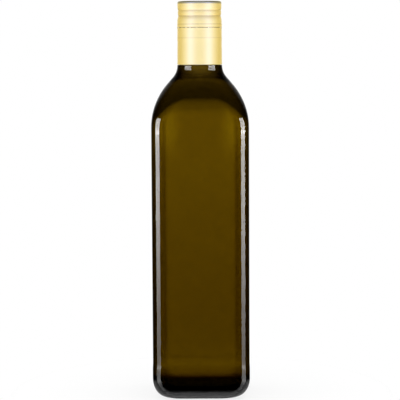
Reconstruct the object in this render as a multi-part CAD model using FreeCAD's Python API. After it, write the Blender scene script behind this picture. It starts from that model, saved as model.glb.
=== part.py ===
"""Square glass oil bottle, filled, with a long aluminium screw cap. All sizes in millimetres.

+Z is up and the origin is the middle of the face that the bottle stands on. The flat sides of
the body face X and Y. Three solids touch face to face: the glass bottle, the oil inside it up to
its level in the neck, and the cap, whose top plate rests on the lip of the glass.
"""
import FreeCAD, Part
import math
import os

Vector = FreeCAD.Vector
Z_AXIS = Vector(0, 0, 1)
os.makedirs("parts", exist_ok=True)

# ---------------------------------------------------------------- driving sizes
# Glass body, a square prism with rounded upright corners
BODY_WIDTH = 70.0            # across two flat sides, at the belt
BODY_CORNER_RADIUS = 9.5     # upright corners, outside
WALL = 3.6                   # glass of the sides
CORNER_INSIDE_RADIUS = 7.5   # upright corners, inside
LABEL_RECESS = 0.2           # the flat sides above the belt lie this much deeper

# Heel, belt and base
HEEL_HEIGHT = 16.0           # height at which the heel has run out into the side
HEEL_INSET = 10.7            # how far the heel curves in under the body
HEEL_CORNER_RADIUS = 11.8    # corner radius of the base outline
BELT_TOP = 22.4              # top of the belt that touches the next bottle
BELT_FADE = 5.0              # height over which the belt runs out into the label recess
FLOOR_THICKNESS = 10.0       # glass of the thick, level floor beside the push-up
FLOOR_FILLET_WIDTH = 8.0     # inside curve from floor to side, measured across
FLOOR_FILLET_HEIGHT = 7.0    # and measured upwards
PUSH_UP_HEIGHT = 4.5         # hollow under the base
BEARING_WIDTH = 4.8          # flat rim from that hollow out to the heel

# Knurled bearing ring: short round bars across the rim that the bottle stands on
KNURL_HEIGHT = 0.5           # how far the bars stand below the base
KNURL_WIDTH = 2.1            # width of a bar where it leaves the base
KNURL_LENGTH = 3.0
KNURL_PITCH = 3.35           # wanted distance from bar to bar
KNURL_EDGE = 0.5             # bars stop this far inside the outline of the base

# Shoulder: outward curve, short slope, inward curve
SHOULDER_START = 197.2       # height at which the flat sides begin to curve in
SHOULDER_SLOPE = 40.9        # degrees from upright at the steepest place
SHOULDER_RADIUS = 44.6       # upper end of the body
NECK_SWEEP_RADIUS = 12.2     # lower end of the neck
NECK_STEP = 0.1              # the neck stands this far out past the side of the cap
COLLAR_HEIGHT = 0.6          # short upright band at the top of the neck
COLLAR_EDGE_RADIUS = 0.35

# Finish, the plain mouth inside the cap
FINISH_CLEARANCE = 0.25      # between the mouth and the deepest groove of the cap
FINISH_WALL = 2.6            # glass of the mouth
LIP_OUTER_RADIUS = 1.2       # rounding of the lip outside
LIP_INNER_RADIUS = 0.8       # and inside

# Oil
OIL_ABOVE_CAP_EDGE = 2.5     # the level stands this far above the lower edge of the cap

# Cap
CAP_LENGTH = 45.5
CAP_RADIUS = 16.1            # plain part of the skirt, outside
CAP_SHEET = 0.3              # thickness of the aluminium
CAP_COLLAR_GAP = 0.25        # between the lower edge of the cap and the collar of the glass
CAP_TOP_EDGE_RADIUS = 1.3    # bend from the top plate into the side
SLIT_HEIGHT = 0.35           # height of the tear slits
BRIDGE_COUNT = 8             # small bridges left between the slits
BRIDGE_WIDTH = 1.3
BRIDGE_TURN = -99.5          # degrees from +X to the first bridge

# Rolled forms of the cap's side, which is a smooth curve through them: distance from the edge
# named, and outside radius less CAP_RADIUS
FORMS_BELOW_TOP = [
    (2.2, -0.22),    # band under the top edge
    (4.6, -0.25),
    (5.8, -0.45),
    (6.6, -0.68),    # first groove
    (7.4, -0.50),
    (8.2, -0.44),    # bead between the grooves
    (9.5, -0.56),
    (10.5, -0.76),   # second, deeper groove
    (11.3, -0.58),
    (12.8, -0.26),   # wide round band
    (15.0, -0.05),
    (16.3, -0.05),
    (16.9, 0.07),    # fine rib
    (17.7, 0.0),
    (18.3, 0.02),
    (18.9, 0.08),    # tear slits, with their edges turned out a little
    (19.6, -0.02),
    (22.5, -0.05),
    (25.8, -0.03),
    (26.6, 0.04),    # faint crease
    (27.4, -0.01),
]
FORMS_ABOVE_LOWER_EDGE = [
    (9.0, 0.01),     # plain skirt, widening towards the hem
    (3.0, 0.03),
    (1.6, 0.04),
]
SLIT_DEPTH = 18.9    # distance of the tear slits below the top
HEM_RADIUS = 0.45    # rolled lower edge of the cap, outside

# Loft steps
HEEL_STEPS = 8
BELT_STEPS = 4
SHOULDER_STEPS = 7           # sections for each of the two curves
SMALLEST_FLAT = 0.05         # half-length of the shortest flat that an outline keeps

# ---------------------------------------------------------------- sizes that follow
BODY_HALF = BODY_WIDTH / 2
PANEL_HALF = BODY_HALF - LABEL_RECESS
BASE_HALF = BODY_HALF - HEEL_INSET
BASE_PLANE = KNURL_HEIGHT
INSIDE_HALF = BODY_HALF - WALL
FLOOR_HEIGHT = BASE_PLANE + FLOOR_THICKNESS
PUSH_UP_RADIUS = BASE_HALF - BEARING_WIDTH
NECK_RADIUS = CAP_RADIUS + NECK_STEP
DEEPEST_GROOVE = min(form for down, form in FORMS_BELOW_TOP)
FINISH_RADIUS = CAP_RADIUS + DEEPEST_GROOVE - CAP_SHEET - FINISH_CLEARANCE
BORE_RADIUS = FINISH_RADIUS - FINISH_WALL


# ---------------------------------------------------------------- helpers
def rounded_square(half_width, radius, height):
    """Closed wire of four sides and four corners, at one height.

    The sides are straight and the corners quarter circles. Where the radius leaves no flat, all
    eight edges are arcs of one circle, so the outline matches a turned part of that size.
    """
    flat = max(half_width - radius, SMALLEST_FLAT)
    is_round = half_width - radius < SMALLEST_FLAT
    side = math.sqrt(half_width ** 2 - flat ** 2) if is_round else half_width
    diagonal = half_width * math.sqrt(0.5) if is_round else flat + radius * math.sqrt(0.5)
    edges = []
    for quarter in range(4):
        turn = FreeCAD.Rotation(Z_AXIS, 90 * quarter)
        lift = Vector(0, 0, height)
        side_start = turn.multVec(Vector(side, -flat, 0)) + lift
        side_middle = turn.multVec(Vector(half_width, 0, 0)) + lift
        side_end = turn.multVec(Vector(side, flat, 0)) + lift
        corner_middle = turn.multVec(Vector(diagonal, diagonal, 0)) + lift
        corner_end = turn.multVec(Vector(flat, side, 0)) + lift
        if is_round:
            edges.append(Part.Arc(side_start, side_middle, side_end).toShape())
        else:
            edges.append(Part.makeLine(side_start, side_end))
        edges.append(Part.Arc(side_end, corner_middle, corner_end).toShape())
    return Part.Wire(edges)


def loft(sections):
    """Smooth solid through sections given as (half width, corner radius, height)."""
    return Part.makeLoft([rounded_square(*section) for section in sections], True, False)


def prism(half_width, radius, bottom, top):
    """Upright rounded-square prism."""
    face = Part.Face(rounded_square(half_width, radius, bottom))
    return face.extrude(Vector(0, 0, top - bottom))


def joined(shapes):
    """One clean solid from shapes that touch or overlap."""
    return shapes[0].fuse(shapes[1:]).removeSplitter()


def curved_in_section(half_width, inset, rise, bottom, corner, foot_corner, step):
    """Section of a lower edge that curves in like a quarter ellipse; step 0 is the foot."""
    angle = step * math.pi / 2
    height = bottom + rise * (1 - math.cos(angle))
    width = half_width - inset * (1 - math.sin(angle))
    radius = foot_corner + (corner - foot_corner) * (1 - math.cos(angle))
    return width, radius, height


def curved_in_foot(half_width, inset, rise, bottom, corner, foot_corner):
    """Sections of a lower edge, from its foot up to the upright side."""
    steps = [i / HEEL_STEPS for i in range(HEEL_STEPS + 1)]
    return [
        curved_in_section(half_width, inset, rise, bottom, corner, foot_corner, step)
        for step in steps
    ]


def shoulder_sections(body_half, neck_half, body_radius, neck_radius, corner):
    """Sections of a shoulder: an outward arc, a straight slope and an inward arc.

    The outward arc is as large as the width between body and neck allows. The corners grow
    from the body's radius to a full circle at the neck. Returns the sections from the bottom up.
    """
    slope = math.radians(SHOULDER_SLOPE)
    reach = body_half - neck_half
    body_radius = min(body_radius, reach / (1 - math.cos(slope)) - neck_radius)
    bends = body_radius + neck_radius
    straight = (reach - bends * (1 - math.cos(slope))) / math.sin(slope)
    top = SHOULDER_START + bends * math.sin(slope) + straight * math.cos(slope)
    angles = [slope * i / SHOULDER_STEPS for i in range(SHOULDER_STEPS + 1)]
    outline = []
    for angle in angles:
        width = body_half - body_radius * (1 - math.cos(angle))
        outline.append((width, SHOULDER_START + body_radius * math.sin(angle)))
    for angle in reversed(angles):
        width = neck_half + neck_radius * (1 - math.cos(angle))
        outline.append((width, top - neck_radius * math.sin(angle)))
    sections = []
    for width, height in outline:
        share = (height - SHOULDER_START) / (top - SHOULDER_START)
        rounding = share * share * (3 - 2 * share)
        sections.append((width, corner + (width - corner) * rounding, height))
    if straight < SMALLEST_FLAT:
        sections.pop(SHOULDER_STEPS)
    return sections


def revolved(edges):
    """Solid turned from a closed outline that is drawn in the X-Z plane."""
    face = Part.Face(Part.Wire(Part.__sortEdges__(edges)))
    return face.revolve(Vector(0, 0, 0), Z_AXIS, 360)


def point(radius, height):
    """Point of a turned outline."""
    return Vector(radius, 0, height)


def rounding(centre_radius, centre_height, radius, start, end):
    """Arc of a turned outline about a centre, between two angles in degrees."""
    ends = []
    for angle in (start, (start + end) / 2, end):
        across = centre_radius + radius * math.cos(math.radians(angle))
        up = centre_height + radius * math.sin(math.radians(angle))
        ends.append(point(across, up))
    return Part.Arc(*ends).toShape()


def outline_through(points):
    """Straight edges through a run of points."""
    return [Part.makeLine(a, b) for a, b in zip(points, points[1:])]


# ---------------------------------------------------------------- glass
OUTER_SHOULDER = shoulder_sections(
    PANEL_HALF, NECK_RADIUS, SHOULDER_RADIUS, NECK_SWEEP_RADIUS, BODY_CORNER_RADIUS
)
INNER_SHOULDER = shoulder_sections(
    INSIDE_HALF, BORE_RADIUS, SHOULDER_RADIUS - WALL, NECK_SWEEP_RADIUS + WALL,
    CORNER_INSIDE_RADIUS,
)
NECK_TOP = OUTER_SHOULDER[-1][2]
BORE_START = INNER_SHOULDER[-1][2]
COLLAR_TOP = NECK_TOP + COLLAR_HEIGHT
CAP_BOTTOM = COLLAR_TOP + CAP_COLLAR_GAP
CAP_TOP = CAP_BOTTOM + CAP_LENGTH
MOUTH = CAP_TOP - CAP_SHEET
OIL_LEVEL = CAP_BOTTOM + OIL_ABOVE_CAP_EDGE


def belt_sections():
    """Sections where the belt runs out into the label recess."""
    sections = []
    for i in range(BELT_STEPS + 1):
        share = i / BELT_STEPS
        fade = share * share * (3 - 2 * share)
        half_width = BODY_HALF - LABEL_RECESS * fade
        sections.append((half_width, BODY_CORNER_RADIUS, BELT_TOP + BELT_FADE * share))
    return sections


def finish():
    """Collar of the neck and the plain mouth above it, as a solid of revolution without bore."""
    collar_arc = rounding(
        NECK_RADIUS - COLLAR_EDGE_RADIUS, COLLAR_TOP - COLLAR_EDGE_RADIUS, COLLAR_EDGE_RADIUS, 0, 90
    )
    lip_arc = rounding(
        FINISH_RADIUS - LIP_OUTER_RADIUS, MOUTH - LIP_OUTER_RADIUS, LIP_OUTER_RADIUS, 0, 90
    )
    edges = outline_through([
        point(0, NECK_TOP), point(NECK_RADIUS, NECK_TOP),
        point(NECK_RADIUS, COLLAR_TOP - COLLAR_EDGE_RADIUS),
    ])
    edges.append(collar_arc)
    edges += outline_through([
        point(NECK_RADIUS - COLLAR_EDGE_RADIUS, COLLAR_TOP), point(FINISH_RADIUS, COLLAR_TOP),
        point(FINISH_RADIUS, MOUTH - LIP_OUTER_RADIUS),
    ])
    edges.append(lip_arc)
    edges += outline_through([
        point(FINISH_RADIUS - LIP_OUTER_RADIUS, MOUTH), point(0, MOUTH), point(0, NECK_TOP),
    ])
    return revolved(edges)


def bore():
    """Bore of the neck and mouth, with the flare of the lip's inner rounding."""
    flare_radius = BORE_RADIUS + LIP_INNER_RADIUS
    flare_arc = rounding(flare_radius, MOUTH - LIP_INNER_RADIUS, LIP_INNER_RADIUS, 180, 90)
    edges = outline_through([
        point(0, MOUTH), point(0, BORE_START), point(BORE_RADIUS, BORE_START),
        point(BORE_RADIUS, MOUTH - LIP_INNER_RADIUS),
    ])
    edges.append(flare_arc)
    edges += outline_through([point(flare_radius, MOUTH), point(0, MOUTH)])
    return revolved(edges)


def ball_segment(rim_radius, height, bottom):
    """Dome with a round rim at one height, and a short round plug below it."""
    ball_radius = (rim_radius ** 2 + height ** 2) / (2 * height)
    centre_height = bottom + height - ball_radius
    crown = Part.Arc(
        point(rim_radius, bottom),
        point(
            ball_radius * math.sin(math.asin(rim_radius / ball_radius) / 2),
            centre_height + ball_radius * math.cos(math.asin(rim_radius / ball_radius) / 2),
        ),
        point(0, bottom + height),
    ).toShape()
    edges = outline_through([
        point(0, bottom + height), point(0, bottom - 1), point(rim_radius, bottom - 1),
        point(rim_radius, bottom),
    ])
    edges.append(crown)
    return revolved(edges)


def knurl_bars():
    """Bars of the bearing ring, square to a rounded-square path just inside the base outline."""
    bar_radius = (KNURL_HEIGHT ** 2 + (KNURL_WIDTH / 2) ** 2) / (2 * KNURL_HEIGHT)
    path_half = BASE_HALF - KNURL_EDGE - KNURL_LENGTH / 2
    path_corner = HEEL_CORNER_RADIUS - KNURL_EDGE - KNURL_LENGTH / 2
    path = rounded_square(path_half, path_corner, bar_radius)
    count = 4 * round(path.Length / KNURL_PITCH / 4)
    bars = []
    for edge in path.Edges:
        edge_share = max(1, round(count * edge.Length / path.Length))
        for i in range(edge_share):
            along = edge.getParameterByLength(edge.Length * (i + 0.5) / edge_share)
            middle = edge.valueAt(along)
            outward = edge.tangentAt(along).cross(Z_AXIS)
            outward = outward * math.copysign(1, outward.dot(Vector(middle.x, middle.y, 0)))
            start = middle - outward * (KNURL_LENGTH / 2)
            bars.append(Part.makeCylinder(bar_radius, KNURL_LENGTH, start, outward))
    return bars


def cavity():
    """Space inside the glass, from the floor to the lip."""
    foot = curved_in_foot(
        INSIDE_HALF, FLOOR_FILLET_WIDTH, FLOOR_FILLET_HEIGHT, FLOOR_HEIGHT,
        CORNER_INSIDE_RADIUS, HEEL_CORNER_RADIUS,
    )
    sides = prism(INSIDE_HALF, CORNER_INSIDE_RADIUS, foot[-1][2], SHOULDER_START)
    return joined([loft(foot), sides, loft(INNER_SHOULDER), bore()])


def glass_outside():
    """Outer form of the glass: heel, belt, flat sides, shoulder, collar and finish."""
    foot = curved_in_foot(
        BODY_HALF, HEEL_INSET, HEEL_HEIGHT - BASE_PLANE, BASE_PLANE,
        BODY_CORNER_RADIUS, HEEL_CORNER_RADIUS,
    )
    belt = prism(BODY_HALF, BODY_CORNER_RADIUS, HEEL_HEIGHT, BELT_TOP)
    panels = prism(PANEL_HALF, BODY_CORNER_RADIUS, BELT_TOP + BELT_FADE, SHOULDER_START)
    body = [loft(foot), belt, loft(belt_sections()), panels, loft(OUTER_SHOULDER), finish()]
    outside = joined(body + knurl_bars())
    return outside.cut(ball_segment(PUSH_UP_RADIUS, PUSH_UP_HEIGHT, BASE_PLANE))


HOLLOW = cavity()


def bottle():
    """The glass bottle."""
    return glass_outside().cut(HOLLOW)


def oil():
    """The oil: the lower part of the hollow, up to the level in the neck."""
    below_level = Part.makeBox(
        BODY_WIDTH, BODY_WIDTH, OIL_LEVEL, Vector(-BODY_HALF, -BODY_HALF, 0)
    )
    return HOLLOW.common(below_level)


# ---------------------------------------------------------------- cap
def cap_side(offset):
    """Smooth side curve of the cap through its rolled forms, moved in by an offset."""
    radius = CAP_RADIUS - offset
    points = [point(radius + form, CAP_TOP - down) for down, form in FORMS_BELOW_TOP]
    points += [point(radius + form, CAP_BOTTOM + up) for up, form in FORMS_ABOVE_LOWER_EDGE]
    curve = Part.BSplineCurve()
    curve.interpolate(points)
    return curve.toShape(), points[0], points[-1]


def cap_shell():
    """Turned sheet-metal shell: top plate, bent edge, formed side and rolled hem."""
    outer, outer_top, outer_end = cap_side(0)
    inner, inner_top, inner_end = cap_side(CAP_SHEET)
    bend_height = CAP_TOP - CAP_TOP_EDGE_RADIUS
    bend_centre = outer_top.x - CAP_TOP_EDGE_RADIUS
    inner_bend = CAP_TOP_EDGE_RADIUS - CAP_SHEET
    hem_bottom = CAP_BOTTOM
    edges = [outer, inner]
    edges.append(rounding(bend_centre, bend_height, CAP_TOP_EDGE_RADIUS, 0, 90))
    edges.append(rounding(bend_centre, bend_height, inner_bend, 0, 90))
    edges += outline_through([outer_top, point(outer_top.x, bend_height)])
    edges += outline_through([inner_top, point(inner_top.x, bend_height)])
    edges += outline_through([
        point(bend_centre, CAP_TOP), point(0, CAP_TOP), point(0, CAP_TOP - CAP_SHEET),
        point(bend_centre, CAP_TOP - CAP_SHEET),
    ])
    hem_middle = hem_bottom + HEM_RADIUS
    hem_centre = outer_end.x + HEM_RADIUS / 4 - HEM_RADIUS
    edges += outline_through([outer_end, point(hem_centre + HEM_RADIUS, hem_middle)])
    edges.append(rounding(hem_centre, hem_middle, HEM_RADIUS, 0, -180))
    edges += outline_through([point(hem_centre - HEM_RADIUS, hem_middle), inner_end])
    return revolved(edges)


def tear_slits():
    """Ring of slits, with a small bridge of metal left between each two."""
    middle = CAP_TOP - SLIT_DEPTH
    inside = CAP_RADIUS - 4 * CAP_SHEET
    outside = CAP_RADIUS + 4 * CAP_SHEET
    step = 360 / BRIDGE_COUNT
    bridge = math.degrees(BRIDGE_WIDTH / CAP_RADIUS)
    slits = []
    for i in range(BRIDGE_COUNT):
        blank = Part.Face(Part.Wire(outline_through([
            point(inside, middle - SLIT_HEIGHT / 2), point(outside, middle - SLIT_HEIGHT / 2),
            point(outside, middle + SLIT_HEIGHT / 2), point(inside, middle + SLIT_HEIGHT / 2),
            point(inside, middle - SLIT_HEIGHT / 2),
        ])))
        blank.rotate(Vector(0, 0, 0), Z_AXIS, BRIDGE_TURN + i * step + bridge / 2)
        slits.append(blank.revolve(Vector(0, 0, 0), Z_AXIS, step - bridge))
    return slits


def cap():
    """The aluminium cap."""
    return cap_shell().cut(tear_slits())


# ---------------------------------------------------------------- export
for name, make in (("bottle", bottle), ("oil", oil), ("cap", cap)):
    shape = make()
    solids = shape.Solids
    box = shape.BoundBox
    shape.exportStep("parts/" + name + ".step")
    print(name, "solids", len(solids), "valid", shape.isValid(), "volume", round(shape.Volume, 1),
          "z", round(box.ZMin, 3), round(box.ZMax, 3), "x", round(box.XMin, 3), round(box.XMax, 3))
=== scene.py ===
# %% [markdown]
# # A square bottle of oil
#
# The object is a tall square bottle of dark green glass, full of oil, with a long golden screw
# cap. Its solids come from a CAD program, in metres, standing on the floor with +Z up. Here the
# same forms are built again as fine surfaces, because glass and metal show every facet, and each
# one gets its finish. The first cell loads the solids, which fix the size and the place of all
# that follows.

# %% Load the solids
import math

import bpy
import numpy as np
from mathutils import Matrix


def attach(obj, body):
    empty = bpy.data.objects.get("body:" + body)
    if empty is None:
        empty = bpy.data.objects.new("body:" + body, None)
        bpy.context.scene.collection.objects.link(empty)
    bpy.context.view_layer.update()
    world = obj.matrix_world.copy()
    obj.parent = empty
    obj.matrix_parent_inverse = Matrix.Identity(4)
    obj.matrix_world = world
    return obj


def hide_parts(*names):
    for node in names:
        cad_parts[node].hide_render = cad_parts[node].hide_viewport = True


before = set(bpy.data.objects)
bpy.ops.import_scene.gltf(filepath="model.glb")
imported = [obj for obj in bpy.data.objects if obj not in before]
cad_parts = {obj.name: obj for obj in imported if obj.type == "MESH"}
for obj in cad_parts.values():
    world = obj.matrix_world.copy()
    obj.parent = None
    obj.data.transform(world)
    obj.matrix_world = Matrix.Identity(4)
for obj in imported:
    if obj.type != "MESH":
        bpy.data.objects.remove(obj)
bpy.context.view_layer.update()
print("solids:", sorted(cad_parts))

# %% [markdown]
# ## Sizes
#
# The sizes are the ones that the solids were built from, in millimetres. The cap stops 0.003 mm
# lower and its tear slits are narrower, so that the finer surfaces stay inside the box of the
# solids and no bright glass shows through the slits. One list is enough for all pieces, and a
# piece is scaled to metres when it becomes a mesh.

# %% Sizes in millimetres
MM = 0.001
BODY_HALF = 35.0
BODY_CORNER = 9.5
LABEL_RECESS = 0.2
INSIDE_HALF = 31.4
INSIDE_CORNER = 7.5
HEEL_TOP = 16.0
HEEL_INSET = 10.7
FOOT_CORNER = 11.8
BASE_PLANE = 0.5
BELT_TOP = 22.4
BELT_FADE = 5.0
INNER_FLOOR = 10.5
INNER_CURVE_WIDTH = 8.0
INNER_CURVE_HEIGHT = 7.0
PUSH_UP_RADIUS = 19.5
PUSH_UP_HEIGHT = 4.5
RING_INNER = 20.6
RING_OUTER = 24.0
SHOULDER_START = 197.2
SHOULDER_SLOPE = math.radians(40.9)
SHOULDER_RADIUS = 44.6
NECK_SWEEP = 12.2
WALL = 3.6
NECK_RADIUS = 16.2
COLLAR_HEIGHT = 0.6
COLLAR_EDGE = 0.35
FINISH_RADIUS = 14.79
BORE_RADIUS = 12.19
LIP_OUTER_EDGE = 1.2
LIP_INNER_EDGE = 0.8
CAP_RADIUS = 16.1
CAP_BOTTOM = 240.703
CAP_TOP = 286.2
CAP_SHEET = 0.3
MOUTH = CAP_TOP - CAP_SHEET
OIL_ABOVE_CAP_EDGE = 2.5
OIL_LEVEL = CAP_BOTTOM + OIL_ABOVE_CAP_EDGE
OIL_RIM = 0.55
print("body", 2 * BODY_HALF, "mm wide, cap top at", CAP_TOP, "mm")

# %% [markdown]
# ## Surfaces from grids
#
# Every piece here is a grid of points: rows that go along a profile, from one pole to the other,
# and columns that go round. A grid can be worked out as whole arrays, and its faces follow from
# the row and column numbers alone. The other way would be to model in edit mode, but a formula
# keeps the bottle's long curves exact.


# %% Turn a grid of points into a mesh
def smoothstep(value, start, end):
    """Share from 0 to 1 between start and end: with t the clipped share, 3 t^2 - 2 t^3."""
    share = np.clip((value - start) / (end - start), 0, 1)
    return share * share * (3 - 2 * share)


def grid_faces(rows, columns, first, is_ring):
    """Corner numbers of the quads of a grid that closes round, and of the fans at its poles.

    The quad of row i and column j has corners (i, j), (i, j+1), (i+1, j+1), (i+1, j), which
    faces outwards when the rows go up the outside. A ring's last row joins its first. Any
    other grid gets a fan at each end, round a pole that is one more point.
    """
    i, j = np.meshgrid(np.arange(rows if is_ring else rows - 1), np.arange(columns), indexing="ij")
    after = (j + 1) % columns
    above = (i + 1) % rows
    quads = np.stack(
        [i * columns + j, i * columns + after, above * columns + after, above * columns + j], -1
    )
    quads = quads.reshape(-1, 4) + first
    if is_ring:
        return quads, np.zeros((0, 3), int)
    ring = np.arange(columns)
    around = (ring + 1) % columns
    bottom_pole = np.full(columns, rows * columns)
    top_pole = bottom_pole + 1
    last = (rows - 1) * columns
    low = np.stack([bottom_pole, around, ring], -1)
    high = np.stack([top_pole, last + ring, last + around], -1)
    return quads, np.concatenate([low, high]) + first


def grid_object(name, grids, rings=(), face_shares=None):
    """Object from grids with poles and rings without, in millimetres, each rows, columns, 3.

    A pole is the mean of the grid's first or last row. face_shares maps the name of a face
    attribute to one value for each band between two rows of a single grid.
    """
    points, quads, fans = [], [], []
    first = 0
    for grid, is_ring in [(grid, False) for grid in grids] + [(ring, True) for ring in rings]:
        rows, columns = grid.shape[:2]
        points.append(grid.reshape(-1, 3))
        new_quads, new_fans = grid_faces(rows, columns, first, is_ring)
        quads.append(new_quads)
        fans.append(new_fans)
        first += rows * columns
        if not is_ring:
            points.append(np.stack([grid[0].mean(0), grid[-1].mean(0)]))
            first += 2
    points = np.concatenate(points) * MM
    quads = np.concatenate(quads)
    fans = np.concatenate(fans)
    corners = np.concatenate([quads.ravel(), fans.ravel()])
    sizes = np.concatenate([np.full(len(quads), 4), np.full(len(fans), 3)])
    mesh = bpy.data.meshes.new(name)
    mesh.vertices.add(len(points))
    mesh.vertices.foreach_set("co", points.ravel())
    mesh.loops.add(len(corners))
    mesh.loops.foreach_set("vertex_index", corners.astype(np.int32))
    mesh.polygons.add(len(sizes))
    mesh.polygons.foreach_set("loop_start", (np.cumsum(sizes) - sizes).astype(np.int32))
    mesh.update(calc_edges=True)
    mesh.shade_smooth()
    for share_name, bands in (face_shares or {}).items():
        columns = grids[0].shape[1]
        values = np.concatenate([
            np.repeat(bands, columns), np.full(columns, bands[0]), np.full(columns, bands[-1]),
        ])
        attribute = mesh.attributes.new(share_name, "FLOAT", "FACE")
        attribute.data.foreach_set("value", values.astype(np.float32))
    made = bpy.data.objects.new(name, mesh)
    bpy.context.scene.collection.objects.link(made)
    triangles = 2 * len(quads) + len(fans)
    print(name, "has", len(points), "points and", triangles, "triangles")
    return made


# %% [markdown]
# ## The outline of one height
#
# Seen from above, the bottle is a square with round corners, which turns into a circle towards
# the neck. All rows have the same number of columns. On a square row a fixed share of them lies
# on the flats and the rest on the corners, so that the edge of a corner runs straight up the
# grid. On a circle they lie evenly. Between the two, the places blend.

# %% Outline with round corners
FLAT_COLUMNS = 70
CORNER_COLUMNS = 30
QUARTER = FLAT_COLUMNS + CORNER_COLUMNS
COLUMNS = 4 * QUARTER


def outlines(half_width, corner_radius, height):
    """Points of one closed outline for each row, counter-clockwise from above.

    With flat the half width less the corner radius, a quarter is a straight run of 2 flat and
    an arc of a quarter circle. A column's place along it is either the fixed one (flat columns
    spread over the run, corner columns over the arc) or the even one (all spread over the
    quarter, with the middle of the run kept), mixed by how round the row is.
    """
    half = half_width[:, None]
    radius = np.minimum(corner_radius, half_width)[:, None]
    flat = half - radius
    arc = radius * math.pi / 2
    quarter = 2 * flat + arc
    side, within = np.divmod(np.arange(COLUMNS), QUARTER)
    on_flat = 2 * flat * within / FLAT_COLUMNS
    on_corner = 2 * flat + arc * (within - FLAT_COLUMNS) / CORNER_COLUMNS
    fixed = np.where(within < FLAT_COLUMNS, on_flat, on_corner)
    even = flat + quarter * (within - FLAT_COLUMNS / 2) / QUARTER
    roundness = smoothstep(radius / half, 0.55, 0.98)
    along = fixed + (even - fixed) * roundness + side * quarter
    along = np.mod(along, 4 * quarter)
    side = np.floor(along / quarter)
    along = along - side * quarter
    angle = np.clip((along - 2 * flat) / np.maximum(radius, 1e-9), 0, math.pi / 2)
    straight = along < 2 * flat
    x = np.where(straight, half, flat + radius * np.cos(angle))
    y = np.where(straight, along - flat, flat + radius * np.sin(angle))
    turn = side * math.pi / 2
    z = np.broadcast_to(height[:, None], x.shape)
    return np.stack([x * np.cos(turn) - y * np.sin(turn), x * np.sin(turn) + y * np.cos(turn), z], -1)


# %% [markdown]
# ## The profile of the glass
#
# A bottle like this is blown into a mould. From below, it has a push-up, a knurled ring to stand
# on, a heel that curves in, a slightly proud belt, flat label panels, and a shoulder made of an
# outward arc, a short slope and an inward arc. Each part of the profile is a small function that
# returns the half width, corner radius and height of its rows.


# %% Parts of the profile
def ball_rows(rim_radius, rise, bottom, count):
    """Low dome as circles: height = bottom + rise - ball + sqrt(ball^2 - radius^2)."""
    ball = (rim_radius ** 2 + rise ** 2) / (2 * rise)
    radius = np.linspace(0, rim_radius, count + 1)[1:]
    return radius, radius, bottom + rise - ball + np.sqrt(ball ** 2 - radius ** 2)


def foot_rows(half, inset, rise, bottom, corner, foot_corner, count):
    """Lower edge as a quarter ellipse.

    Width = half - inset (1 - sin a), height = bottom + rise (1 - cos a), and the corner radius
    goes from the foot's to the side's by 1 - cos a.
    """
    angle = np.linspace(0, math.pi / 2, count)
    width = half - inset * (1 - np.sin(angle))
    height = bottom + rise * (1 - np.cos(angle))
    return width, foot_corner + (corner - foot_corner) * (1 - np.cos(angle)), height


def shoulder_rows(body_half, neck_half, body_radius, neck_radius, corner, count):
    """Shoulder: outward arc of body_radius, straight slope, inward arc of neck_radius.

    The slope is as long as the reach between body and neck leaves. The corner radius grows to
    the full half width by the smooth share of the height.
    """
    reach = body_half - neck_half
    bends = body_radius + neck_radius
    fall = 1 - math.cos(SHOULDER_SLOPE)
    straight = (reach - bends * fall) / math.sin(SHOULDER_SLOPE)
    top = SHOULDER_START + bends * math.sin(SHOULDER_SLOPE) + straight * math.cos(SHOULDER_SLOPE)
    angle = np.linspace(0, SHOULDER_SLOPE, count)
    outward = body_half - body_radius * (1 - np.cos(angle))
    inward = neck_half + neck_radius * (1 - np.cos(angle[::-1]))
    outward_z = SHOULDER_START + body_radius * np.sin(angle)
    inward_z = top - neck_radius * np.sin(angle[::-1])
    share = np.linspace(0, 1, 6)[1:-1]
    slope = outward[-1] + (inward[0] - outward[-1]) * share
    slope_z = outward_z[-1] + (inward_z[0] - outward_z[-1]) * share
    width = np.concatenate([outward, slope, inward])
    height = np.concatenate([outward_z, slope_z, inward_z])
    rounding = smoothstep(height, SHOULDER_START, top)
    return width, corner + (width - corner) * rounding, height


def arc_rows(centre, height, radius, start, end, count):
    """Circle rows round an edge: centre + radius cos a across, height + radius sin a up."""
    angle = np.radians(np.linspace(start, end, count))
    across = centre + radius * np.cos(angle)
    return across, across, height + radius * np.sin(angle)


def level_rows(values):
    """Rows given one by one as half width, corner radius and height."""
    return tuple(np.array(column, float) for column in zip(*values))


def upright_rows(half_width, corner_radius, height):
    """Rows at several heights with one corner radius, and one width or a width for each."""
    return np.broadcast_to(half_width, height.shape), np.full(len(height), corner_radius), height


def profile(*parts):
    """All parts end to end, as three arrays."""
    return tuple(np.concatenate(column) for column in zip(*parts))


# %% [markdown]
# The outside runs from the middle of the push-up, under the ring and up to the lip. The inside
# runs from the middle of the floor up the bore to the same lip. The mouth is plain, since the
# cap hides it.

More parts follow.
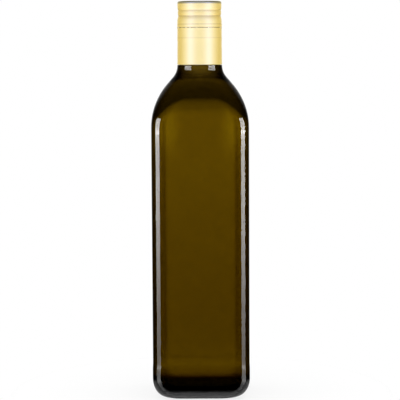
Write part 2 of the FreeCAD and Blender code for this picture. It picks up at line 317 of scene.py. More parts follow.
# %% Outside and inside of the glass
PANEL_HALF = BODY_HALF - LABEL_RECESS
BASE_HALF = BODY_HALF - HEEL_INSET
ring_half = np.concatenate([
    [RING_INNER], np.linspace(RING_INNER + 0.2, RING_OUTER - 0.2, 11), [RING_OUTER],
])
belt_share = np.linspace(0, 1, 7)
belt_height = BELT_TOP + BELT_FADE * belt_share
belt_half = BODY_HALF - LABEL_RECESS * smoothstep(belt_share, 0, 1)
panel_height = np.linspace(BELT_TOP + BELT_FADE, SHOULDER_START, 30)[1:-1]
outer_shoulder = shoulder_rows(
    PANEL_HALF, NECK_RADIUS, SHOULDER_RADIUS, NECK_SWEEP, BODY_CORNER, 15
)
neck_top = outer_shoulder[2][-1]
collar_top = neck_top + COLLAR_HEIGHT
belt_rows = (17.5, 19.2, 20.9, 22.0)
finish_rows = (collar_top + 0.2, 255, 270, 284.4)
outside = profile(
    ball_rows(PUSH_UP_RADIUS - 0.3, PUSH_UP_HEIGHT - 0.06, BASE_PLANE + 0.06, 10),
    level_rows([(PUSH_UP_RADIUS - 0.1, PUSH_UP_RADIUS - 0.1, BASE_PLANE + 0.02)]),
    level_rows([(PUSH_UP_RADIUS + 0.2, PUSH_UP_RADIUS + 0.2, BASE_PLANE)]),
    (ring_half, ring_half - (BASE_HALF - FOOT_CORNER), np.full(len(ring_half), BASE_PLANE)),
    foot_rows(
        BODY_HALF, HEEL_INSET, HEEL_TOP - BASE_PLANE, BASE_PLANE, BODY_CORNER, FOOT_CORNER, 24
    ),
    level_rows([(BODY_HALF, BODY_CORNER, z) for z in belt_rows]),
    upright_rows(belt_half, BODY_CORNER, belt_height),
    upright_rows(PANEL_HALF, BODY_CORNER, panel_height),
    outer_shoulder,
    arc_rows(NECK_RADIUS - COLLAR_EDGE, collar_top - COLLAR_EDGE, COLLAR_EDGE, 0, 90, 6),
    level_rows([(FINISH_RADIUS + 0.2, FINISH_RADIUS + 0.2, collar_top)]),
    level_rows([(FINISH_RADIUS, FINISH_RADIUS, z) for z in finish_rows]),
    arc_rows(FINISH_RADIUS - LIP_OUTER_EDGE, MOUTH - LIP_OUTER_EDGE, LIP_OUTER_EDGE, 0, 90, 8),
)
inner_shoulder = shoulder_rows(
    INSIDE_HALF, BORE_RADIUS, SHOULDER_RADIUS - WALL, NECK_SWEEP + WALL, INSIDE_CORNER, 11
)
inner_height = np.linspace(INNER_FLOOR + INNER_CURVE_HEIGHT, SHOULDER_START, 24)[1:-1]
bore_rows = (241.6, 242.4, OIL_LEVEL, OIL_LEVEL + OIL_RIM, 246, 262, 278, 284.6)
inside = profile(
    level_rows([(r, r, INNER_FLOOR) for r in (2.0, 6.0, 11.0, 16.0)]),
    level_rows([(20.5, 14.0, INNER_FLOOR)]),
    foot_rows(
        INSIDE_HALF, INNER_CURVE_WIDTH, INNER_CURVE_HEIGHT, INNER_FLOOR, INSIDE_CORNER, FOOT_CORNER, 14
    ),
    upright_rows(INSIDE_HALF, INSIDE_CORNER, inner_height),
    inner_shoulder,
    level_rows([(BORE_RADIUS, BORE_RADIUS, z) for z in bore_rows]),
    arc_rows(BORE_RADIUS + LIP_INNER_EDGE, MOUTH - LIP_INNER_EDGE, LIP_INNER_EDGE, 180, 90, 6),
)
print("profile rows:", len(outside[0]), "outside and", len(inside[0]), "inside")

# %% [markdown]
# ## Life in the glass
#
# Blown glass is never quite even. The outer skin keeps slow, shallow waves from the mould, two
# faint seams where its halves met, and the ring underneath is knurled so that it grips. The
# inner skin is free, so the wall is thinner towards the upper edges of the panels, and thicker
# in the upright corners and down the lower half. All of these are offsets of the grid along its
# own normals, apart from the knurls, which go straight down. The outer skin is also sunk by a
# twentieth of a millimetre, which keeps waves and seams inside the box of the solids.


# %% Offsets along the normals
KNURL_RADIUS = 1.3525
KNURL_CUT = 0.8525
KNURL_START = 20.75
KNURL_END = 23.85
KNURL_EASE = 0.45
FLAT_KNURLS = 7
CORNER_KNURLS = 5
SEAM_HEIGHT = 0.04
OUTER_SUNK = 0.052
OUTER_WAVES = 0.02
INNER_WAVES = 0.12
UPPER_THINNING = 0.75
LOWER_THICKENING = 0.75
CORNER_THICKENING = 0.6


def grid_normals(points):
    """Unit normals of a grid: the cross product of the change round and the change along."""
    around = np.roll(points, -1, 1) - np.roll(points, 1, 1)
    along = np.gradient(points, axis=0)
    normals = np.cross(around, along)
    return normals / np.maximum(np.linalg.norm(normals, axis=-1, keepdims=True), 1e-9)


def waves(points, size, seed):
    """Slow unevenness from -1 to 1: a sum of six sine waves of random direction and length."""
    random = np.random.default_rng(seed)
    total = np.zeros(points.shape[:2])
    for _ in range(6):
        direction = random.normal(size=3)
        direction /= np.linalg.norm(direction)
        length = size * random.uniform(0.7, 1.6)
        total += np.sin(points @ direction * (2 * math.pi / length) + random.uniform(0, 6.28))
    return total / 6


def knurl_depth(half_width, height):
    """How far the bars of the standing ring stand below the base.

    Each flat and each corner has a number of bars, spread evenly. Across a bar, the depth is
    sqrt(KNURL_RADIUS^2 - across^2) - KNURL_CUT. Along it, both ends are eased.
    """
    within = np.arange(COLUMNS) % QUARTER
    flat_phase = within / FLAT_COLUMNS * FLAT_KNURLS
    corner_phase = (within - FLAT_COLUMNS) / CORNER_COLUMNS * CORNER_KNURLS
    on_flat = within < FLAT_COLUMNS
    phase = np.where(on_flat, flat_phase, corner_phase) % 1 - 0.5
    corner = half_width - (BASE_HALF - FOOT_CORNER)
    flat_pitch = 2 * (BASE_HALF - FOOT_CORNER) / FLAT_KNURLS
    corner_pitch = corner[:, None] * math.pi / (2 * CORNER_KNURLS)
    across = phase * np.where(on_flat, flat_pitch, corner_pitch)
    depth = np.sqrt(np.clip(KNURL_RADIUS ** 2 - across ** 2, 0, None)) - KNURL_CUT
    ends = smoothstep(half_width, KNURL_START, KNURL_START + KNURL_EASE)
    ends = ends * (1 - smoothstep(half_width, KNURL_END - KNURL_EASE, KNURL_END))
    ends = np.where(height <= BASE_PLANE + 1e-6, ends, 0)
    return np.clip(depth, 0, None) * ends[:, None]


def seam_height(points):
    """Mould seams: a low ridge down the middle of the two sides that face along X."""
    middle = np.isin(np.arange(COLUMNS), (FLAT_COLUMNS // 2, FLAT_COLUMNS // 2 + 2 * QUARTER))
    on_body = smoothstep(points[..., 2], 1.0, 6.0) * (1 - smoothstep(points[..., 2], 236, 240))
    return SEAM_HEIGHT * middle * on_body


def wall_thinning(points):
    """How much thinner the wall is than planned, in millimetres, less than 0 where thicker.

    Near the upper edges of each panel it is thinner, as a bell curve over the height. The
    lower half is thicker, as a wide bell curve that ends above the floor. In the upright
    corners the glass is thicker too, fading out over 18 degrees towards the flats.
    """
    height = points[..., 2]
    across = np.minimum(np.abs(points[..., 0]), np.abs(points[..., 1])) / INSIDE_HALF
    upper = UPPER_THINNING * np.exp(-((height - 193) / 14) ** 2) * smoothstep(across, 0.35, 0.75)
    lower = LOWER_THICKENING * np.exp(-((height - 60) / 90) ** 2) * smoothstep(height, 17, 36)
    within = np.arange(COLUMNS) % QUARTER
    turn = (within - FLAT_COLUMNS) / CORNER_COLUMNS * 90
    corner = CORNER_THICKENING * smoothstep(turn, 0, 18) * (1 - smoothstep(turn, 72, 90))
    corner = corner * smoothstep(height, 20, 40) * (1 - smoothstep(height, 200, 225))
    return upper - lower - corner


# %% Grid of the outside
outer_grid = outlines(*outside)
outer_normals = grid_normals(outer_grid)
body_part = smoothstep(outer_grid[..., 2], 4, 12) * (1 - smoothstep(outer_grid[..., 2], 225, 238))
sunk = OUTER_SUNK - OUTER_WAVES * waves(outer_grid, 45, 3)
outer_offset = seam_height(outer_grid) - sunk * body_part
outer_grid = outer_grid + outer_normals * outer_offset[..., None]
outer_grid[..., 2] -= knurl_depth(outside[0], outside[2])
print("lowest point of the glass", round(float(outer_grid[..., 2].min()), 3), "mm")

# %% [markdown]
# The grid of the glass is the outside followed by the inside turned round, so that glass, lip
# and bore are one closed skin. The face attribute called wet marks the inner faces that the oil
# covers, because glass bends light much less where it meets oil than where it meets air.


# %% The glass
def inner_grid(offset):
    """Inside of the glass from the floor up, moved into the glass by an offset."""
    points = outlines(*inside)
    normals = grid_normals(points)
    uneven = INNER_WAVES * waves(points, 60, 8)
    uneven *= smoothstep(points[..., 2], 12, 30) * (1 - smoothstep(points[..., 2], 215, 235))
    return points + normals * (wall_thinning(points) + uneven + offset)[..., None]


hollow_grid = inner_grid(0)
glass_grid = np.concatenate([outer_grid, hollow_grid[::-1]])
wet_rows = inside[2][::-1]
wet = np.concatenate([
    np.zeros(len(outside[0])),
    np.where(np.maximum(wet_rows[1:], wet_rows[:-1]) <= OIL_LEVEL + OIL_RIM + 0.05, 1.0, 0.0),
])
bottle = grid_object("glass_bottle", [glass_grid], face_shares={"wet": wet})

# %% [markdown]
# ## The oil
#
# The oil fills the glass to a level just above the lower edge of the cap. Its skin reaches
# 0.3 mm into the wall, so that no layer of air shows between the two. At the level it climbs
# the glass in a small rim, as liquids do. The face attribute called skin marks the faces inside
# the wall, which must not bend the light a second time.


# %% The oil
OIL_OVERLAP = 0.3


def level_grid(radius):
    """The level from the wall to the middle: height = level + 0.5 exp(-distance / 1.4)."""
    across = radius * np.cos(np.linspace(0, math.pi / 2, 16))[:-1]
    height = OIL_LEVEL + 0.5 * np.exp(-np.clip(BORE_RADIUS - across, 0, None) / 1.4)
    return outlines(across, across, height)


skin_rows = int(np.argmin(np.abs(inside[2] - OIL_LEVEL)))
skin_grid = inner_grid(OIL_OVERLAP)[:skin_rows]
oil_grid = np.concatenate([skin_grid, level_grid(BORE_RADIUS + OIL_OVERLAP)])
skin = np.where(np.arange(len(oil_grid) - 1) < skin_rows, 1.0, 0.0)
oil = grid_object("oil_filling", [oil_grid], face_shares={"skin": skin})
oil_ends = oil_grid[..., 2].min(), oil_grid[..., 2].max()
print("oil from", np.round(oil_ends, 2).tolist(), "mm")

# %% [markdown]
# ## The cap
#
# The cap is deep-drawn from thin aluminium and rolled against the glass, which leaves grooves,
# beads and a ring of tear slits. Its side is one smooth curve through a few measured places. The
# sheet above the slits is one closed skin with poles, the skirt below is a ring, and eight small
# bridges of metal hold the two together. A boolean cut would give the same slits, but with
# ragged shading along them.

# %% Side curve of the cap
BELOW_TOP = [
    (2.2, -0.22), (4.6, -0.25), (5.8, -0.45), (6.6, -0.68), (7.4, -0.50), (8.2, -0.44),
    (9.5, -0.56), (10.5, -0.76), (11.3, -0.58), (12.8, -0.26), (15.0, -0.05), (16.3, -0.05),
    (16.9, 0.07), (17.7, 0.0), (18.3, 0.02), (18.9, 0.08), (19.6, -0.02), (22.5, -0.05),
    (25.8, -0.03), (26.6, 0.04), (27.4, -0.01), (36.5, 0.01), (42.5, 0.03), (43.9, 0.04),
]
SIDE_START = 2.2
SIDE_START_INSET = 0.22
SIDE_END = 43.9
SLIT_DEPTH = 18.9
SLIT_HEIGHT = 0.2
TOP_BEND = 1.3
HEM = 0.45
BRIDGE_COUNT = 8
BRIDGE_TURN = -97.2
BRIDGE_HALF_WIDTH = 0.65
BRIDGE_HALF_SHEET = 0.14
BRIDGE_REACH = 0.32
CAP_COLUMNS = 288


def cap_radius(depth):
    """Outer radius at a depth below the top, as a cubic between each two measured places.

    With t the share of the way, the cubic is h00 r0 + h10 s0 + h01 r1 + h11 s1, where h00 to
    h11 are the Hermite weights and each slope s is the mean change across its neighbours.
    """
    places = np.array(BELOW_TOP)
    slopes = np.gradient(places[:, 1], places[:, 0])
    i = np.clip(np.searchsorted(places[:, 0], depth) - 1, 0, len(places) - 2)
    step = places[i + 1, 0] - places[i, 0]
    t = np.clip((depth - places[i, 0]) / step, 0, 1)
    start = (1 + 2 * t) * (1 - t) ** 2 * places[i, 1] + t * (1 - t) ** 2 * step * slopes[i]
    end = t * t * (3 - 2 * t) * places[i + 1, 1] + t * t * (t - 1) * step * slopes[i + 1]
    return CAP_RADIUS + start + end


def circles(radius, height):
    """Rings of the turned cap: x = radius cos a, y = radius sin a, counter-clockwise."""
    angle = np.arange(CAP_COLUMNS) * (2 * math.pi / CAP_COLUMNS)
    radius, height = radius[:, None], height[:, None]
    x = radius * np.cos(angle)
    return np.stack([x, radius * np.sin(angle), np.broadcast_to(height, x.shape)], -1)


def slit_edge(centre_depth, start, end):
    """Rounded edge of the sheet at a slit: a half circle as thick as the sheet."""
    middle = cap_radius(np.array([centre_depth]))[0] - CAP_SHEET / 2
    return arc_rows(middle, CAP_TOP - centre_depth, CAP_SHEET / 2, start, end, 7)


def sheet_rows(depth, inwards):
    """Rows along the side of the cap, on a skin some way in from the outer one."""
    radius = cap_radius(depth) - inwards
    return radius, radius, CAP_TOP - depth


# %% Sheet, skirt and bridges
upper_edge = SLIT_DEPTH - SLIT_HEIGHT / 2 - CAP_SHEET / 2
lower_edge = SLIT_DEPTH + SLIT_HEIGHT / 2 + CAP_SHEET / 2
upper_depth = np.linspace(SIDE_START, upper_edge - 0.05, 64)
lower_depth = np.linspace(lower_edge + 0.05, SIDE_END, 52)
bend_centre = CAP_RADIUS - SIDE_START_INSET - TOP_BEND
plate = bend_centre * np.array([0.12, 0.4, 0.75, 0.95])
upper_profile = profile(
    level_rows([(r, r, CAP_TOP - CAP_SHEET) for r in plate]),
    arc_rows(bend_centre, CAP_TOP - TOP_BEND, TOP_BEND - CAP_SHEET, 90, 0, 7),
    sheet_rows(upper_depth, CAP_SHEET),
    slit_edge(upper_edge, 180, 360),
    sheet_rows(upper_depth[::-1], 0),
    arc_rows(bend_centre, CAP_TOP - TOP_BEND, TOP_BEND, 0, 90, 11),
    level_rows([(r, r, CAP_TOP) for r in plate[::-1]]),
)
hem_centre = cap_radius(np.array([SIDE_END]))[0] + HEM / 4 - HEM
lower_profile = profile(
    arc_rows(hem_centre, CAP_BOTTOM + HEM, HEM, -90, 0, 8),
    sheet_rows(lower_depth[::-1], 0),
    slit_edge(lower_edge, 0, 180),
    sheet_rows(lower_depth, CAP_SHEET),
    arc_rows(hem_centre, CAP_BOTTOM + HEM, HEM, 180, 258, 7),
)


def bridge_grid(turn):
    """One bridge: rows up across the slit, each an oblong with round ends.

    Across, the oblong is its half width times cos a to the power 0.4, and through the sheet
    it is half its thickness times sin a.
    """
    angle = np.arange(16) * (2 * math.pi / 16)
    across = BRIDGE_HALF_WIDTH * np.sign(np.cos(angle)) * np.abs(np.cos(angle)) ** 0.4
    through = -BRIDGE_HALF_SHEET * np.sin(angle)
    radius = cap_radius(np.array([SLIT_DEPTH]))[0] - CAP_SHEET / 2 + through
    turned = turn + across / CAP_RADIUS
    height = CAP_TOP - SLIT_DEPTH + np.array([-BRIDGE_REACH, -0.1, 0.1, BRIDGE_REACH])
    x = np.broadcast_to(radius * np.cos(turned), (4, 16))
    y = np.broadcast_to(radius * np.sin(turned), (4, 16))
    return np.stack([x, y, np.broadcast_to(height[:, None], x.shape)], -1)


bridge_turns = BRIDGE_TURN + np.arange(BRIDGE_COUNT) * (360 / BRIDGE_COUNT)
bridges = [bridge_grid(math.radians(turn)) for turn in bridge_turns]
cap = grid_object(
    "screw_cap",
    [circles(upper_profile[0], upper_profile[2])] + bridges,
    rings=[circles(lower_profile[0], lower_profile[2])],
)

# %% [markdown]
# ## Writing finishes as expressions
#
# A finish is a small graph of nodes. It reads best as arithmetic, so a value wraps the socket
# that it comes from, and each operator adds the Math node for it. Every other node comes from
# one method.


# %% Values and graphs
class Value:
    """A socket that can stand in a sum: an operator on it adds one Math node."""

    def __init__(self, graph, made, output=0):
        self.graph = graph
        self.made = made
        self.socket = made.outputs[output]

    def out(self, output):
        """Another output of the same node."""
        return Value(self.graph, self.made, output)

    def math(self, operation, *values):
        """Math node on some values, of which self may be any one."""
        return self.graph.node(
            "ShaderNodeMath", {"operation": operation}, dict(enumerate(values))
        )

    def smaller(self, other):
        """The smaller of two values."""
        return self.math("MINIMUM", self, other)

    def larger(self, other):
        """The larger of two values."""
        return self.math("MAXIMUM", self, other)

    def root(self):
        """Square root."""
        return self.math("SQRT", self)

    def __add__(self, other):
        return self.math("ADD", self, other)

    def __radd__(self, other):
        return self.math("ADD", other, self)

    def __sub__(self, other):
        return self.math("SUBTRACT", self, other)

    def __rsub__(self, other):
        return self.math("SUBTRACT", other, self)

    def __mul__(self, other):
        return self.math("MULTIPLY", self, other)

    def __rmul__(self, other):
        return self.math("MULTIPLY", other, self)

    def __truediv__(self, other):
        return self.math("DIVIDE", self, other)

    def __rtruediv__(self, other):
        return self.math("DIVIDE", other, self)


class Graph:
    """The nodes of one material or of the world."""

    def __init__(self, tree):
        self.tree = tree
        tree.nodes.clear()

    def node(self, kind, settings=None, inputs=None, output=0):
        """Any node: first its settings, then its sockets as values, numbers or colours."""
        made = self.tree.nodes.new(kind)
        for key, setting in (settings or {}).items():
            if key == "stops":
                self.place_stops(made.color_ramp.elements, setting)
            else:
                setattr(made, key, setting)
        for key, value in (inputs or {}).items():
            if isinstance(value, Value):
                self.tree.links.new(value.socket, made.inputs[key])
            else:
                made.inputs[key].default_value = value
        return Value(self, made, output) if made.outputs else made

    @staticmethod
    def place_stops(elements, stops):
        """Stops of a ramp, each a place from 0 to 1 and a grey or a colour."""
        while len(elements) < len(stops):
            elements.new(1)
        for element, (place, colour) in zip(elements, stops):
            element.position = place
            element.color = colour if isinstance(colour, tuple) else (colour, colour, colour, 1)

    def ramp(self, value, stops):
        """Colour ramp over a value."""
        return self.node("ShaderNodeValToRGB", {"stops": stops}, {"Fac": value})

    def spot(self):
        """Place on the object, in metres."""
        return self.node("ShaderNodeTexCoord").out("Object")

    def split(self, vector):
        """The three parts of a vector."""
        parts = self.node("ShaderNodeSeparateXYZ", None, {"Vector": vector})
        return parts, parts.out(1), parts.out(2)

    def stretched(self, vector, scale):
        """A vector with each part scaled."""
        return self.node("ShaderNodeMapping", None, {"Vector": vector, "Scale": scale})

    def noise(self, vector, scale, detail):
        """Cloudy noise from 0 to 1."""
        inputs = {"Vector": vector, "Scale": scale, "Detail": detail}
        return self.node("ShaderNodeTexNoise", None, inputs)

    def blend(self, share, first, second):
        """Colour between two."""
        inputs = {0: share, 6: first, 7: second}
        return self.node("ShaderNodeMix", {"data_type": "RGBA"}, inputs, 2)

    def bump(self, height, distance, strength):
        """Normal that follows a height given from 0 to 1, over a distance in metres."""
        inputs = {"Height": height, "Distance": distance, "Strength": strength}
        return self.node("ShaderNodeBump", None, inputs)

    def principled(self, inputs):
        """The main shader."""
        return self.node("ShaderNodeBsdfPrincipled", None, inputs)

    def mixed(self, share, first, second):
        """Two shaders mixed by a share."""
        return self.node("ShaderNodeMixShader", None, {0: share, 1: first, 2: second})

    def face_share(self, name):
        """A face attribute of the piece."""
        return self.node("ShaderNodeAttribute", {"attribute_name": name}).out("Fac")


WHITE = (1, 1, 1, 1)


def new_finish(name):
    """Empty material and its graph."""
    material = bpy.data.materials.new(name)
    material.use_nodes = True
    return material, Graph(material.node_tree)


def dress(piece, material, node):
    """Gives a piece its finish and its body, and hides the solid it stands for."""
    piece.data.materials.append(material)
    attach(piece, "root")
    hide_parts(node)
    print(piece.name, "wears", material.name)


# %% [markdown]
# ## Dark green glass
#
# Glass has no colour of its own at the surface. It is coloured right through, so the light that
# crosses more of it comes out darker: the heel, the corners and the shoulder are nearly black,
# while the flat panels glow. A volume that absorbs gives exactly that. Two surface shaders are
# mixed by the wet attribute, one against air and one against oil, whose bend is so close to that
# of glass that the border between them nearly disappears. The outer skin of the upper shoulder
# and the neck gets a part of the weaker bend too. With the full one, the inside of the narrow
# neck would break into hard rings.

# %% Glass finish
GLASS_BEND = 1.52
OIL_BEND = 1.47
GLASS_TINT = (0.368, 0.262, 0.0, 1)
GLASS_DENSITY = 465.0
NECK_PART_START = 0.2
NECK_PART_LENGTH = 0.05
glass_finish, graph = new_finish("dark_green_glass")
spot = graph.spot()
ripple = graph.noise(graph.stretched(spot, (26, 26, 14)), 1.0, 1.0)
grain = graph.noise(spot, 420, 2.0)
surface = ripple * 0.99 + grain * 0.01
roughness = graph.noise(spot, 60, 3.0) * 0.02
dry = graph.principled({
    "Base Color": WHITE, "IOR": GLASS_BEND, "Transmission Weight": 1.0,
    "Roughness": roughness, "Normal": graph.bump(surface, 0.0004, 0.25),
})
wetted = graph.principled({
    "Base Color": WHITE, "IOR": GLASS_BEND / OIL_BEND, "Transmission Weight": 1.0,
    "Roughness": 0.0,
})
height = graph.split(spot)[2]
neck_share = graph.ramp((height - NECK_PART_START) / NECK_PART_LENGTH, [
    (0.35, 0.0), (0.54, 0.3), (0.64, 0.6), (0.7, 0.55), (0.76, 0.42), (0.83, 0.0),
])
weaker_bend = graph.face_share("wet").larger(neck_share)
glass_surface = graph.mixed(weaker_bend, dry, wetted)
absorbing = graph.node(
    "ShaderNodeVolumeAbsorption", None, {"Color": GLASS_TINT, "Density": GLASS_DENSITY}
)
graph.node("ShaderNodeOutputMaterial", None, {"Surface": glass_surface, "Volume": absorbing})
dress(bottle, glass_finish, "bottle")

# %% [markdown]
# ## Olive oil
#
# Oil is clear and yellow-green, and absorbs mostly blue. Its skin lies inside the wall of the
# glass, so there it must let light pass straight on, and only its level meets air.

# %% Oil finish
OIL_TINT = (0.943, 0.877, 0.0, 1)
OIL_DENSITY = 62.0
oil_finish, graph = new_finish("olive_oil")
calm = graph.bump(graph.noise(graph.spot(), 90, 1.0), 0.0002, 0.3)
level_surface = graph.principled({
    "Base Color": WHITE, "IOR": OIL_BEND, "Transmission Weight": 1.0,
    "Roughness": 0.0, "Normal": calm,
})
hidden_skin = graph.principled({
    "Base Color": WHITE, "IOR": 1.0, "Transmission Weight": 1.0, "Roughness": 0.0,
})
oil_surface = graph.mixed(graph.face_share("skin"), level_surface, hidden_skin)
absorbing = graph.node(
    "ShaderNodeVolumeAbsorption", None, {"Color": OIL_TINT, "Density": OIL_DENSITY}
)
graph.node("ShaderNodeOutputMaterial", None, {"Surface": oil_surface, "Volume": absorbing})
dress(oil, oil_finish, "oil")

# %% [markdown]
# ## Golden aluminium
#
# The cap is satin aluminium under a thin gold lacquer. Rolling leaves fine lines that run
# round it, so the noise for its bump and roughness is squeezed along Z. The grooves get painted
# shade, each crease and the slit a painted dark line, and the edge of the top plate a painted
# dark reflection. The lacquer itself is a clear coat over the metal.

# %% Cap finish
CAP_TOP_Z = CAP_TOP * MM
GOLD_DEEP = (0.95, 0.75, 0.22, 1)
GOLD_PALE = (0.98, 0.79, 0.26, 1)
# Painted shade: the darker gold that the grooves get.
GROOVE_SHADE_GOLD = (0.88, 0.65, 0.15, 1)
# Painted shade: the dark gold of the lines in the creases and the slit.
CREASE_SHADE_GOLD = (0.6, 0.45, 0.12, 1)
# Painted reflection: the near-black colour of the top plate's outer edge.
RIM_DARK_REFLECTION = (0.27, 0.24, 0.12, 1)
cap_finish, graph = new_finish("gold_lacquered_aluminium")
spot = graph.spot()
lines = graph.noise(graph.stretched(spot, (60, 60, 5200)), 1.0, 3.0)
cloud = graph.noise(spot, 130, 2.0)
x, y, z = graph.split(spot)
across = (x * x + y * y).root()
# Painted shade: the gold turns darker where the surface lies more than a quarter millimetre in from
# the full cap radius, so the grooves look shadowed, and the top plate lies that far in too.
groove_shade = graph.ramp((CAP_RADIUS * MM - across) / 0.0008, [(0.3, 0.0), (0.95, 1.0)])
tone = cloud * 0.6 + lines * 0.4
gold = graph.blend(tone, GOLD_DEEP, GOLD_PALE)
colour = graph.blend(groove_shade, gold, GROOVE_SHADE_GOLD)
# Painted shade: thin dark lines at the depths of the grooves, beads and tear slits, where the shade of
# each fold would fall.
crease_shade = graph.ramp((CAP_TOP_Z - z) / 0.03, [
    (0.19, 0.0), (0.21, 0.6), (0.23, 0.0), (0.33, 0.0), (0.35, 0.7), (0.375, 0.0), (0.535, 0.0),
    (0.548, 0.8), (0.561, 0.0), (0.61, 0.0), (0.63, 0.7), (0.65, 0.0), (0.86, 0.0), (0.875, 0.4),
    (0.89, 0.0),
])
colour = graph.blend(crease_shade, colour, CREASE_SHADE_GOLD)
# Painted reflection: the outer edge of the top plate is painted nearly black, standing in for the dark
# room above that it would mirror.
near_top = graph.ramp((z - (CAP_TOP_Z - 0.0024)) / 0.002, [(0.15, 0.0), (0.45, 1.0)])
near_edge = graph.ramp((across - 0.0135) / 0.002, [(0.2, 0.0), (0.8, 1.0)])
colour = graph.blend(near_top * near_edge, colour, RIM_DARK_REFLECTION)
metal = graph.principled({
    "Base Color": colour, "Metallic": 1.0, "Roughness": lines * 0.12 + 0.4,
    "Normal": graph.bump(lines, 0.00003, 0.5), "Coat Weight": 1.0, "Coat Roughness": 0.2,
    "Coat IOR": 2.5,
})
graph.node("ShaderNodeOutputMaterial", None, {"Surface": metal})
dress(cap, cap_finish, "cap")

# %% [markdown]
# ## Floor
#
# A round pale floor carries the bottle. To the camera it is mostly a plain white, with a part
# of its real shading kept, so that the soft shadow round the heel stays. Glass neither mirrors
# it nor shows it from behind, because the flat panels would turn it into a grey veil. The world
# below gives the glass its pale floor instead.

# %% Pale floor
FLOOR_RADIUS = 140.0
FLOOR_DROP = 0.02
FLOOR_THICKNESS = 2.0
FLOOR_COLUMNS = 96
floor_share = np.linspace(1, 0.02, 12)
floor_angle = np.arange(FLOOR_COLUMNS) * (2 * math.pi / FLOOR_COLUMNS)
floor_x = FLOOR_RADIUS * np.outer(floor_share, np.cos(floor_angle))
floor_y = FLOOR_RADIUS * np.outer(floor_share, np.sin(floor_angle))
floor_top = np.stack([floor_x, floor_y, np.full(floor_x.shape, -FLOOR_DROP)], -1)
floor_under = floor_top[::-1] - np.array([0, 0, FLOOR_THICKNESS])
floor = grid_object("floor", [np.concatenate([floor_under, floor_top])])
floor_finish, graph = new_finish("pale_floor")
paint = graph.node("ShaderNodeBsdfDiffuse", None, {"Color": (0.8, 0.8, 0.8, 1)})
glow = graph.node("ShaderNodeEmission", None, {"Color": WHITE, "Strength": 1.09})
to_camera = graph.node("ShaderNodeLightPath").out("Is Camera Ray") * 0.75
graph.node("ShaderNodeOutputMaterial", None, {"Surface": graph.mixed(to_camera, paint, glow)})
floor.data.materials.append(floor_finish)
floor.visible_transmission = False
floor.visible_glossy = False

# %% [markdown]
# ## Light
#
# Glass is lit by what it mirrors and by what stands behind it. Real lamps and cards would do
# that, but a world that answers each kind of ray needs fewer of them. The camera and matt
# surfaces see plain white. What shows through the glass is a backdrop that is white round the
# horizon, dim above and below it and pale again underneath, and darker along the diagonals.
# What the glass mirrors is a dark room with a pale far wall and a pale floor. Two tall soft
# strips stand left and right in front of the bottle. A tent, warm at the sides and cooler in
# two upright bands, gives the cap its sheen. Strips and tent are linked to their own pieces, as
# flags do in a studio.

# %% World
world = bpy.data.worlds.new("studio")
bpy.context.scene.world = world
world.use_nodes = True
graph = Graph(world.node_tree)
path = graph.node("ShaderNodeLightPath")
camera_ray = path.out("Is Camera Ray")
through = path.out("Is Transmission Ray")
mirrored = path.out("Is Glossy Ray") * (1 - through)
scattered = 1 - camera_ray - through - mirrored
direction = graph.node("ShaderNodeTexCoord").out("Generated")
side, ahead, rise = graph.split(direction)
aslant = (side * side).smaller(ahead * ahead)
lifted = aslant.smaller(0.08) * 0.9
backdrop_light = graph.ramp((rise - lifted) * 0.8 + 0.7, [
    (0.0, 0.9), (0.07, 0.76), (0.165, 0.37), (0.25, 0.22), (0.32, 0.15), (0.40, 0.12),
    (0.43, 0.38), (0.452, 0.56), (0.475, 0.63), (0.51, 0.72), (0.54, 0.9), (0.575, 1.0),
    (0.765, 1.0), (0.79, 0.6), (0.81, 0.36), (0.9, 0.3), (1.0, 0.25),
])
slantwise = graph.ramp(aslant, [(0.05, 1.0), (0.1, 0.7), (0.18, 0.45), (0.5, 0.25)])
far_wall = graph.ramp(ahead, [
    (0.64, 0.0), (0.70, 0.04), (0.78, 0.11), (0.87, 0.18), (0.916, 0.3), (0.95, 0.45),
])
above_floor = graph.ramp(rise + 0.5, [(0.43, 0.0), (0.48, 1.0)])
floor_below = graph.ramp(rise * -1, [(0.88, 0.0), (0.93, 0.85), (1.0, 0.9)])
floor_beyond = graph.ramp(ahead * 0.5 + 0.5, [(0.2, 0.0), (0.36, 0.45)])
floor_beyond = floor_beyond * graph.ramp(rise * -1, [(0.25, 0.0), (0.4, 1.0)])
shown_through = through * backdrop_light * slantwise
shown_mirrored = mirrored * (far_wall * above_floor + floor_below.larger(floor_beyond))
strength = camera_ray + shown_through + shown_mirrored + scattered
sky = graph.node("ShaderNodeBackground", None, {"Color": WHITE, "Strength": strength})
graph.node("ShaderNodeOutputWorld", None, {"Surface": sky})


# %% Glowing walls
def glowing_finish(name, make_strength, make_tint=None):
    """See-through material that adds light; both makers get the graph and the place."""
    material, graph = new_finish(name)
    spot = graph.spot()
    tint = make_tint(graph, spot) if make_tint else WHITE
    strength = make_strength(graph, spot)
    glow = graph.node("ShaderNodeEmission", None, {"Color": tint, "Strength": strength})
    clear = graph.node("ShaderNodeBsdfTransparent")
    both = graph.node("ShaderNodeAddShader", None, {0: glow, 1: clear})
    graph.node("ShaderNodeOutputMaterial", None, {"Surface": both})
    return material


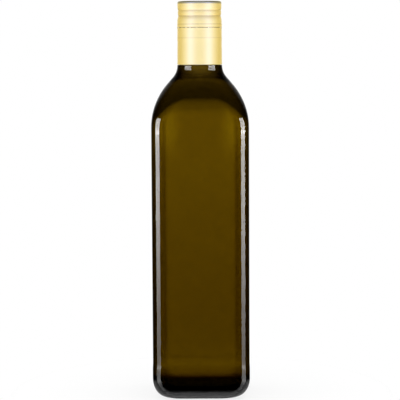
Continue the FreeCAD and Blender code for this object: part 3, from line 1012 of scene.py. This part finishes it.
def light_wall(name, points, material, receivers):
    """Sheet of light from a grid of points in metres, seen in reflections of receivers only."""
    rows, columns = points.shape[:2]
    i, j = np.meshgrid(np.arange(rows - 1), np.arange(columns - 1), indexing="ij")
    start = i * columns + j
    quads = np.stack([start, start + 1, start + columns + 1, start + columns], -1).reshape(-1, 4)
    mesh = bpy.data.meshes.new(name)
    mesh.from_pydata(points.reshape(-1, 3), [], quads)
    mesh.materials.append(material)
    wall = bpy.data.objects.new(name, mesh)
    bpy.context.scene.collection.objects.link(wall)
    wall.visible_camera = False
    wall.visible_diffuse = False
    wall.visible_transmission = False
    wall.visible_shadow = False
    linked = bpy.data.collections.new(name + "_lights")
    for piece in receivers:
        linked.objects.link(piece)
    wall.light_linking.receiver_collection = linked
    print(name, "lights", [piece.name for piece in receivers])


# %% Strips for the glass
STRIP_DISTANCE = 1.1
STRIP_FOOT = -2.0
STRIP_HEAD = 1.0
STRIP_FIRST_TURN = 45
STRIP_LAST_TURN = 84
STRIP_POWER = 17.0


def strip_points(side):
    """Upright strip on a pipe round the bottle, for side -1 left and for 1 right.

    A point at azimuth a from the front lies at x = side r sin a and y = -r cos a.
    """
    turns = np.radians(np.linspace(STRIP_FIRST_TURN, STRIP_LAST_TURN, 13))
    azimuth, height = np.meshgrid(turns, np.linspace(STRIP_FOOT, STRIP_HEAD, 13))
    x = side * STRIP_DISTANCE * np.sin(azimuth)
    return np.stack([x, -STRIP_DISTANCE * np.cos(azimuth), height], -1)


def strip_strength(graph, spot):
    """Brightest at the height of the shoulder, and fading towards the floor."""
    height = graph.split(spot)[2]
    fade = graph.ramp((height - STRIP_FOOT) / (STRIP_HEAD - STRIP_FOOT), [
        (0.0, 0.03), (0.4, 0.04), (0.49, 0.1), (0.56, 0.2), (0.61, 0.13), (0.63, 0.18), (0.655, 0.31),
        (0.679, 0.45), (0.702, 0.52), (0.709, 0.6), (0.713, 0.98), (0.72, 1.0), (0.735, 0.62),
        (0.925, 0.55), (0.935, 0.0),
    ])
    return fade * STRIP_POWER


strip_finish = glowing_finish("strip_light", strip_strength)
light_wall("strip_left", strip_points(-1), strip_finish, [bottle, oil])
light_wall("strip_right", strip_points(1), strip_finish, [bottle, oil])

# %% Tent for the cap
TENT_RADIUS = 1.6
TENT_CENTRE = 0.2
HALF_PER_METRE = 0.5 / TENT_RADIUS


def tent_points():
    """Ball round the bottle: a ring at rise b has radius r cos b and lies r sin b up."""
    turns = np.radians(np.linspace(0, 360, 49))
    azimuth, rise = np.meshgrid(turns, np.radians(np.linspace(-89, 89, 25)))
    out = TENT_RADIUS * np.cos(rise)
    height = TENT_CENTRE + TENT_RADIUS * np.sin(rise)
    return np.stack([out * np.sin(azimuth), -out * np.cos(azimuth), height], -1)


def tent_front(graph, spot):
    """Share from 0 straight behind the cap to 1 straight in front of it."""
    return graph.split(spot)[1] * -HALF_PER_METRE + 0.5


def tent_strength(graph, spot):
    """Even from the front, with a brighter upright band left and right, and dark overhead."""
    around = graph.ramp(tent_front(graph, spot), [
        (0.0, 0.46), (0.12, 0.57), (0.41, 0.7), (0.52, 0.8), (0.62, 0.9), (0.72, 1.0), (0.8, 1.15),
        (0.87, 1.13), (0.94, 0.92), (1.0, 0.82),
    ])
    height = graph.split(spot)[2]
    upwards = graph.ramp((height - TENT_CENTRE) * HALF_PER_METRE + 0.5, [
        (0.07, 1.2), (0.25, 1.15), (0.42, 1.06), (0.55, 1.08), (0.66, 1.12), (0.73, 0.75),
        (0.8, 0.45), (0.87, 0.3), (0.93, 0.5), (1.0, 0.8),
    ])
    return around * upwards


def tent_tint(graph, spot):
    """Warm beside and behind the cap, white in front and cool in the two bands."""
    front = tent_front(graph, spot)
    warmth = graph.ramp(front, [(0.3, 0.0), (0.62, 1.0)])
    band = graph.ramp(front, [(0.62, 0.0), (0.76, 1.0), (0.88, 1.0), (1.0, 0.0)])
    plain = graph.blend(warmth, (1.0, 0.87, 0.45, 1), (1.0, 1.0, 1.02, 1))
    return graph.blend(band, plain, (1.0, 1.08, 1.7, 1))


tent_finish = glowing_finish("tent_light", tent_strength, tent_tint)
light_wall("cap_tent", tent_points(), tent_finish, [cap])

# %% [markdown]
# ## Camera
#
# A long lens from a little over a metre away keeps the sides of the bottle almost parallel. It
# stands below the top of the cap, tips down by a bit over five degrees and leans by a third of
# a degree. The lean is set as the first turn, round the line of sight, so the order is ZXY.

# %% Camera
CAMERA_TIP = 5.627
CAMERA_LEAN = -0.31
camera_data = bpy.data.cameras.new("camera")
camera_data.lens = 149.3
camera = bpy.data.objects.new("camera", camera_data)
bpy.context.scene.collection.objects.link(camera)
camera.location = (-0.00033, -1.2035, 0.2608)
camera.rotation_mode = "ZXY"
camera.rotation_euler = (math.radians(90 - CAMERA_TIP), 0, math.radians(CAMERA_LEAN))
camera_data.clip_start = 0.05
camera_data.clip_end = 20
bpy.context.scene.camera = camera
bpy.context.scene.view_settings.view_transform = "Standard"
